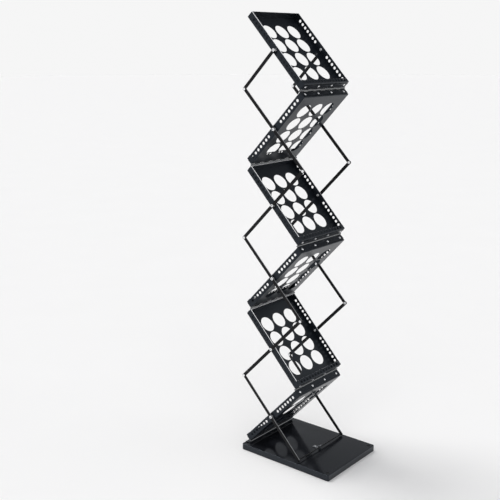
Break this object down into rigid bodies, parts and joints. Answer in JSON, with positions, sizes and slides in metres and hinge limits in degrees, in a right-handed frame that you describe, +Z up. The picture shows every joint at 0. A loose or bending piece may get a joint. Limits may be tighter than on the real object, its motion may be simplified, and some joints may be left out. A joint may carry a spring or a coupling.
{
  "type": "periodical display rack",
  "caption": "Folding zig-zag display rack: perforated sheet-steel trays hinged end to end on a flat base and kept in step by scissor arms on both sides.",
  "frame": {"origin": "middle of the underside of the base", "axes": "+Z up, front of the rack towards -Y, width along X; the rack stands erected at rest"},
  "size_m": [0.287, 0.3686, 1.4874],
  "materials": {
    "tray_coat": "satin black powder coat",
    "arm_coat": "satin black",
    "board": "satin black lacquer on board",
    "bright_screw": "bright plated",
    "spring_steel": "dull"
  },
  "bodies": {
    "base": {"base_board": "board", "base_screw_front_left": "arm_coat", "base_screw_front_right": "arm_coat", "base_screw_rear_left": "arm_coat", "base_screw_rear_right": "arm_coat", "rod_clip": "spring_steel", "rod_clip_screw": "bright_screw", "hinge_1_lower_leaf": "tray_coat", "hinge_1_pin": "spring_steel"},
    "tray_1_body": {"tray_1": "tray_coat", "hinge_1_upper_leaf": "tray_coat", "hinge_2_lower_leaf": "tray_coat", "hinge_2_pin": "spring_steel", "pivot_1_left": "bright_screw", "pivot_1_right": "bright_screw"},
    "arms_1_body": {"arm_1_left": "arm_coat", "arm_1_right": "arm_coat", "foot_rod": "arm_coat"},
    "tray_2_body": {"tray_2": "tray_coat", "hinge_2_upper_leaf": "tray_coat", "hinge_3_lower_leaf": "tray_coat", "hinge_3_pin": "spring_steel", "pivot_2_left": "bright_screw", "pivot_2_right": "bright_screw"},
    "arms_2_body": {"arm_2_left": "arm_coat", "arm_2_right": "arm_coat"},
    "tray_3_body": {"tray_3": "tray_coat", "hinge_3_upper_leaf": "tray_coat", "hinge_4_lower_leaf": "tray_coat", "hinge_4_pin": "spring_steel", "pivot_3_left": "bright_screw", "pivot_3_right": "bright_screw"},
    "arms_3_body": {"arm_3_left": "arm_coat", "arm_3_right": "arm_coat"},
    "tray_4_body": {"tray_4": "tray_coat", "hinge_4_upper_leaf": "tray_coat", "hinge_5_lower_leaf": "tray_coat", "hinge_5_pin": "spring_steel", "pivot_4_left": "bright_screw", "pivot_4_right": "bright_screw"},
    "arms_4_body": {"arm_4_left": "arm_coat", "arm_4_right": "arm_coat"},
    "tray_5_body": {"tray_5": "tray_coat", "hinge_5_upper_leaf": "tray_coat", "hinge_6_lower_leaf": "tray_coat", "hinge_6_pin": "spring_steel", "pivot_5_left": "bright_screw", "pivot_5_right": "bright_screw"},
    "arms_5_body": {"arm_5_left": "arm_coat", "arm_5_right": "arm_coat"},
    "tray_6_body": {"tray_6": "tray_coat", "hinge_6_upper_leaf": "tray_coat", "pivot_6_left": "bright_screw", "pivot_6_right": "bright_screw"},
    "arms_6_body": {"arm_6_left": "arm_coat", "arm_6_right": "arm_coat"}
  },
  "joints": [
    {"name": "tray_1_hinge", "type": "hinge", "parent": "base", "child": "tray_1_body", "pos_m": [0, -0.15905, 0.0284], "axis": [1, 0, 0], "range_deg": [-46.3, 0]},
    {"name": "arms_1_pivot", "type": "hinge", "parent": "tray_1_body", "child": "arms_1_body", "pos_m": [0, -0.0648, 0.15026], "axis": [1, 0, 0], "range_deg": [0, 86.67]},
    {"name": "tray_2_hinge", "type": "hinge", "parent": "tray_1_body", "child": "tray_2_body", "pos_m": [0, 0.02945, 0.27212], "axis": [1, 0, 0], "range_deg": [0, 92.6]},
    {"name": "arms_2_pivot", "type": "hinge", "parent": "tray_2_body", "child": "arms_2_body", "pos_m": [0, -0.0648, 0.39398], "axis": [1, 0, 0], "range_deg": [-86.67, 0]},
    {"name": "tray_3_hinge", "type": "hinge", "parent": "tray_2_body", "child": "tray_3_body", "pos_m": [0, -0.15905, 0.51583], "axis": [1, 0, 0], "range_deg": [-92.6, 0]},
    {"name": "arms_3_pivot", "type": "hinge", "parent": "tray_3_body", "child": "arms_3_body", "pos_m": [0, -0.0648, 0.63769], "axis": [1, 0, 0], "range_deg": [0, 86.67]},
    {"name": "tray_4_hinge", "type": "hinge", "parent": "tray_3_body", "child": "tray_4_body", "pos_m": [0, 0.02945, 0.75955], "axis": [1, 0, 0], "range_deg": [0, 92.6]},
    {"name": "arms_4_pivot", "type": "hinge", "parent": "tray_4_body", "child": "arms_4_body", "pos_m": [0, -0.0648, 0.88141], "axis": [1, 0, 0], "range_deg": [-86.67, 0]},
    {"name": "tray_5_hinge", "type": "hinge", "parent": "tray_4_body", "child": "tray_5_body", "pos_m": [0, -0.15905, 1.00327], "axis": [1, 0, 0], "range_deg": [-92.6, 0]},
    {"name": "arms_5_pivot", "type": "hinge", "parent": "tray_5_body", "child": "arms_5_body", "pos_m": [0, -0.0648, 1.12512], "axis": [1, 0, 0], "range_deg": [0, 86.67]},
    {"name": "tray_6_hinge", "type": "hinge", "parent": "tray_5_body", "child": "tray_6_body", "pos_m": [0, 0.02945, 1.24698], "axis": [1, 0, 0], "range_deg": [0, 92.6]},
    {"name": "arms_6_pivot", "type": "hinge", "parent": "tray_6_body", "child": "arms_6_body", "pos_m": [0, -0.0648, 1.36884], "axis": [1, 0, 0], "range_deg": [-86.67, 0]}
  ],
  "couplings": [
    {"joint": "arms_1_pivot", "follows": "tray_1_hinge", "ratio": -1.872},
    {"joint": "tray_2_hinge", "follows": "tray_1_hinge", "ratio": -2},
    {"joint": "arms_2_pivot", "follows": "tray_1_hinge", "ratio": 1.872},
    {"joint": "tray_3_hinge", "follows": "tray_1_hinge", "ratio": 2},
    {"joint": "arms_3_pivot", "follows": "tray_1_hinge", "ratio": -1.872},
    {"joint": "tray_4_hinge", "follows": "tray_1_hinge", "ratio": -2},
    {"joint": "arms_4_pivot", "follows": "tray_1_hinge", "ratio": 1.872},
    {"joint": "tray_5_hinge", "follows": "tray_1_hinge", "ratio": 2},
    {"joint": "arms_5_pivot", "follows": "tray_1_hinge", "ratio": -1.872},
    {"joint": "tray_6_hinge", "follows": "tray_1_hinge", "ratio": -2},
    {"joint": "arms_6_pivot", "follows": "tray_1_hinge", "ratio": 1.872}
  ]
}
